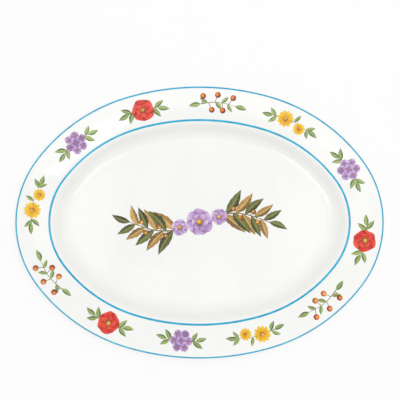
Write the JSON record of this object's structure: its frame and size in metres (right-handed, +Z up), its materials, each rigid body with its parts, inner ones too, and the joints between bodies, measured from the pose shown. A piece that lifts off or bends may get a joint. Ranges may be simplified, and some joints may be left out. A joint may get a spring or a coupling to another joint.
{
  "type": "oval serving platter",
  "caption": "Oval white porcelain serving platter with a wide rim, a shallow well, a foot ring, blue edge lines and printed flower sprigs, for serving food at table.",
  "frame": {"origin": "on the table, under the middle of the foot ring", "axes": "+X along the platter's length, +Y across it, +Z up out of the well"},
  "size_m": [0.406, 0.3, 0.0318],
  "materials": {
    "biscuit": "bare fired porcelain, matt",
    "clear_glaze": "clear gloss glaze over white porcelain",
    "blue_enamel": "hand banded sky blue enamel, glossy",
    "red_enamel": "printed red enamel, glossy",
    "yellow_enamel": "printed yellow enamel, glossy",
    "lilac_enamel": "printed lilac enamel, glossy",
    "peach_enamel": "printed peach enamel, glossy",
    "ochre_enamel": "printed ochre enamel, glossy",
    "leaf_enamel": "printed leaf green enamel, glossy",
    "light_leaf_enamel": "printed amber enamel, glossy",
    "dark_leaf_enamel": "printed dark olive enamel, glossy",
    "brown_enamel": "printed olive brown enamel, glossy"
  },
  "bodies": {
    "root": {"porcelain_body": "biscuit", "glaze_coat": "clear_glaze", "base_glaze": "clear_glaze", "lip_line": "blue_enamel", "verge_line": "blue_enamel", "red_petals": "red_enamel", "yellow_petals": "yellow_enamel", "lilac_petals": "lilac_enamel", "peach_hips": "peach_enamel", "rim_eyes": "ochre_enamel", "rim_leaves": "leaf_enamel", "rim_stems": "brown_enamel", "spray_stems": "brown_enamel", "spray_light_leaves": "light_leaf_enamel", "spray_dark_leaves": "dark_leaf_enamel", "spray_berries": "ochre_enamel", "spray_blossoms": "lilac_enamel", "spray_eyes": "yellow_enamel"}
  },
  "joints": []
}
